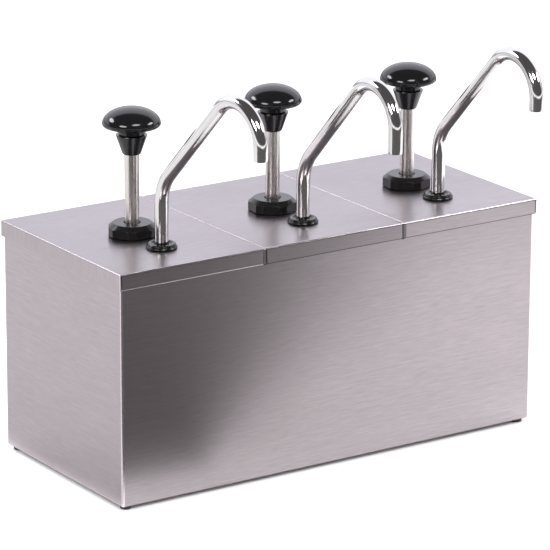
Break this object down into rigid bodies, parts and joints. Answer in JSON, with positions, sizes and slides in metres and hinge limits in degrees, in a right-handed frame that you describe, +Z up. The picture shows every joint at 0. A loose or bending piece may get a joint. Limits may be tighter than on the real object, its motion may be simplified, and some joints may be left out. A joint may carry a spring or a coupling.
{
  "type": "condiment pump dispenser",
  "caption": "Countertop condiment dispenser: folded stainless housing with lift-out jars, each under a lid that carries a spring-return plunger pump and a bent discharge tube.",
  "frame": {"origin": "centre of the whole dispenser's outline, on the counter under its feet", "axes": "+X along the row of pumps, -Y to the front where the tubes reach out, +Z up"},
  "size_m": [0.4606, 0.3126, 0.3909],
  "materials": {
    "brushed_stainless": "brushed along the length",
    "polished_stainless": "mirror polished stainless steel",
    "satin_stainless": "satin, turned",
    "spring_steel": "bright stainless wire and balls",
    "black_phenolic": "high gloss moulding",
    "black_nylon": "semi-gloss moulding",
    "black_rubber": "moulded",
    "rubber_foot": "moulded",
    "white_acetal": "machined"
  },
  "bodies": {
    "housing": {"housing": "brushed_stainless", "base_plate": "brushed_stainless", "foot_front_left": "rubber_foot", "foot_front_right": "rubber_foot", "foot_back_left": "rubber_foot", "foot_back_right": "rubber_foot"},
    "jar_1": {"jar_1": "brushed_stainless"},
    "pump_1": {"lid_1": "brushed_stainless", "lock_nut_1": "black_nylon", "pump_cylinder_1": "polished_stainless", "return_spring_1": "spring_steel", "valve_body_1": "white_acetal", "suction_tube_1": "white_acetal", "union_nut_1": "polished_stainless", "union_seal_1": "black_rubber", "spout_1": "polished_stainless", "spout_grommet_1": "black_nylon"},
    "plunger_1": {"knob_1": "black_phenolic", "knob_collar_1": "black_phenolic", "plunger_rod_1": "satin_stainless", "piston_1": "white_acetal", "piston_seal_1": "black_rubber"},
    "inlet_valve_1": {"inlet_ball_1": "spring_steel"},
    "discharge_valve_1": {"discharge_ball_1": "spring_steel"},
    "jar_2": {"jar_2": "brushed_stainless"},
    "pump_2": {"lid_2": "brushed_stainless", "lock_nut_2": "black_nylon", "pump_cylinder_2": "polished_stainless", "return_spring_2": "spring_steel", "valve_body_2": "white_acetal", "suction_tube_2": "white_acetal", "union_nut_2": "polished_stainless", "union_seal_2": "black_rubber", "spout_2": "polished_stainless", "spout_grommet_2": "black_nylon"},
    "plunger_2": {"knob_2": "black_phenolic", "knob_collar_2": "black_phenolic", "plunger_rod_2": "satin_stainless", "piston_2": "white_acetal", "piston_seal_2": "black_rubber"},
    "inlet_valve_2": {"inlet_ball_2": "spring_steel"},
    "discharge_valve_2": {"discharge_ball_2": "spring_steel"},
    "jar_3": {"jar_3": "brushed_stainless"},
    "pump_3": {"lid_3": "brushed_stainless", "lock_nut_3": "black_nylon", "pump_cylinder_3": "polished_stainless", "return_spring_3": "spring_steel", "valve_body_3": "white_acetal", "suction_tube_3": "white_acetal", "union_nut_3": "polished_stainless", "union_seal_3": "black_rubber", "spout_3": "polished_stainless", "spout_grommet_3": "black_nylon"},
    "plunger_3": {"knob_3": "black_phenolic", "knob_collar_3": "black_phenolic", "plunger_rod_3": "satin_stainless", "piston_3": "white_acetal", "piston_seal_3": "black_rubber"},
    "inlet_valve_3": {"inlet_ball_3": "spring_steel"},
    "discharge_valve_3": {"discharge_ball_3": "spring_steel"}
  },
  "joints": [
    {"name": "jar_1_lift", "type": "slide", "parent": "housing", "child": "jar_1", "axis": [0, 0, 1], "range_m": [0, 0.215]},
    {"name": "lid_1_lift", "type": "slide", "parent": "jar_1", "child": "pump_1", "axis": [0, 0, 1], "range_m": [0, 0.215]},
    {"name": "plunger_1_press", "type": "slide", "parent": "pump_1", "child": "plunger_1", "axis": [0, 0, -1], "range_m": [0, 0.064], "stiffness_N_per_m": 150, "springref_m": -0.05, "deforming": ["return_spring_1"]},
    {"name": "inlet_ball_1_lift", "type": "slide", "parent": "pump_1", "child": "inlet_valve_1", "axis": [0, 0, 1], "range_m": [0, 0.004]},
    {"name": "discharge_ball_1_lift", "type": "slide", "parent": "pump_1", "child": "discharge_valve_1", "axis": [0, 0, 1], "range_m": [0, 0.003]},
    {"name": "jar_2_lift", "type": "slide", "parent": "housing", "child": "jar_2", "axis": [0, 0, 1], "range_m": [0, 0.215]},
    {"name": "lid_2_lift", "type": "slide", "parent": "jar_2", "child": "pump_2", "axis": [0, 0, 1], "range_m": [0, 0.215]},
    {"name": "plunger_2_press", "type": "slide", "parent": "pump_2", "child": "plunger_2", "axis": [0, 0, -1], "range_m": [0, 0.064], "stiffness_N_per_m": 150, "springref_m": -0.05, "deforming": ["return_spring_2"]},
    {"name": "inlet_ball_2_lift", "type": "slide", "parent": "pump_2", "child": "inlet_valve_2", "axis": [0, 0, 1], "range_m": [0, 0.004]},
    {"name": "discharge_ball_2_lift", "type": "slide", "parent": "pump_2", "child": "discharge_valve_2", "axis": [0, 0, 1], "range_m": [0, 0.003]},
    {"name": "jar_3_lift", "type": "slide", "parent": "housing", "child": "jar_3", "axis": [0, 0, 1], "range_m": [0, 0.215]},
    {"name": "lid_3_lift", "type": "slide", "parent": "jar_3", "child": "pump_3", "axis": [0, 0, 1], "range_m": [0, 0.215]},
    {"name": "plunger_3_press", "type": "slide", "parent": "pump_3", "child": "plunger_3", "axis": [0, 0, -1], "range_m": [0, 0.064], "stiffness_N_per_m": 150, "springref_m": -0.05, "deforming": ["return_spring_3"]},
    {"name": "inlet_ball_3_lift", "type": "slide", "parent": "pump_3", "child": "inlet_valve_3", "axis": [0, 0, 1], "range_m": [0, 0.004]},
    {"name": "discharge_ball_3_lift", "type": "slide", "parent": "pump_3", "child": "discharge_valve_3", "axis": [0, 0, 1], "range_m": [0, 0.003]}
  ]
}
